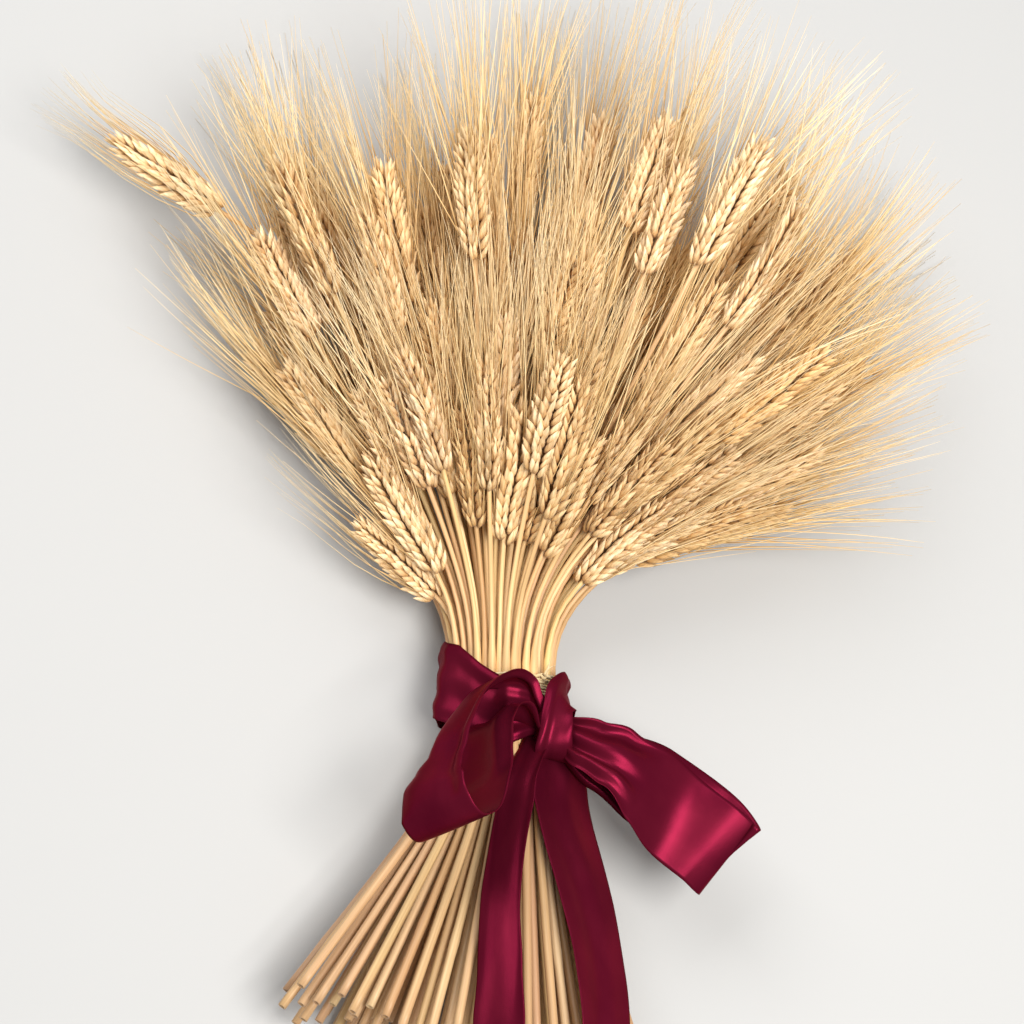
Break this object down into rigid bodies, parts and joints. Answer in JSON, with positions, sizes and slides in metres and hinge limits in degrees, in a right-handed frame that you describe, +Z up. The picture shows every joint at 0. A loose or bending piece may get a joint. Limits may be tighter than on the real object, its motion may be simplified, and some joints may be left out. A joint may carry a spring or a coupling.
{
  "type": "bundle of dried wheat",
  "caption": "Sheaf of dried bearded wheat lying on its back, its ears fanned out above a waist tied with twine and a wide satin ribbon in a bow with two loops and two tails.",
  "frame": {"origin": "centre of the bounding box in plan, on the surface that the bundle lies on", "axes": "+Y along the straws towards the ears, +X to the right as the bow is looked down on, +Z up"},
  "size_m": [0.4254, 0.4938, 0.1478],
  "materials": {
    "dried_wheat": "matte",
    "twine": "matte",
    "satin": "satin"
  },
  "bodies": {
    "root": {"wheat_stalks_01": "dried_wheat", "wheat_stalks_02": "dried_wheat", "wheat_stalks_03": "dried_wheat", "wheat_stalks_04": "dried_wheat", "wheat_stalks_05": "dried_wheat", "wheat_stalks_06": "dried_wheat", "wheat_stalks_07": "dried_wheat", "wheat_stalks_08": "dried_wheat", "wheat_stalks_09": "dried_wheat", "wheat_stalks_10": "dried_wheat", "wheat_stalks_11": "dried_wheat", "wheat_stalks_12": "dried_wheat", "wheat_stalks_13": "dried_wheat", "wheat_stalks_14": "dried_wheat", "wheat_stalks_15": "dried_wheat", "wheat_stalks_16": "dried_wheat", "wheat_stalks_17": "dried_wheat", "wheat_stalks_18": "dried_wheat", "wheat_stalks_19": "dried_wheat", "wheat_stalks_20": "dried_wheat", "wheat_stalks_21": "dried_wheat", "wheat_stalks_22": "dried_wheat", "wheat_stalks_23": "dried_wheat", "wheat_stalks_24": "dried_wheat", "wheat_stalks_25": "dried_wheat", "wheat_stalks_26": "dried_wheat", "wheat_stalks_27": "dried_wheat", "wheat_stalks_28": "dried_wheat", "wheat_stalks_29": "dried_wheat", "wheat_stalks_30": "dried_wheat", "wheat_stalks_31": "dried_wheat", "wheat_stalks_32": "dried_wheat", "wheat_stalks_33": "dried_wheat", "wheat_stalks_34": "dried_wheat", "wheat_stalks_35": "dried_wheat", "wheat_stalks_36": "dried_wheat", "wheat_stalks_37": "dried_wheat", "wheat_stalks_38": "dried_wheat", "wheat_stalks_39": "dried_wheat", "wheat_stalks_40": "dried_wheat", "wheat_stalks_41": "dried_wheat", "wheat_stalks_42": "dried_wheat", "wheat_stalks_43": "dried_wheat", "wheat_stalks_44": "dried_wheat", "wheat_stalks_45": "dried_wheat", "wheat_stalks_46": "dried_wheat", "wheat_stalks_47": "dried_wheat", "wheat_stalks_48": "dried_wheat", "wheat_stalks_49": "dried_wheat", "wheat_stalks_50": "dried_wheat", "wheat_stalks_51": "dried_wheat", "wheat_stalks_52": "dried_wheat", "twine_tie": "twine", "ribbon_bow": "satin"}
  },
  "joints": []
}
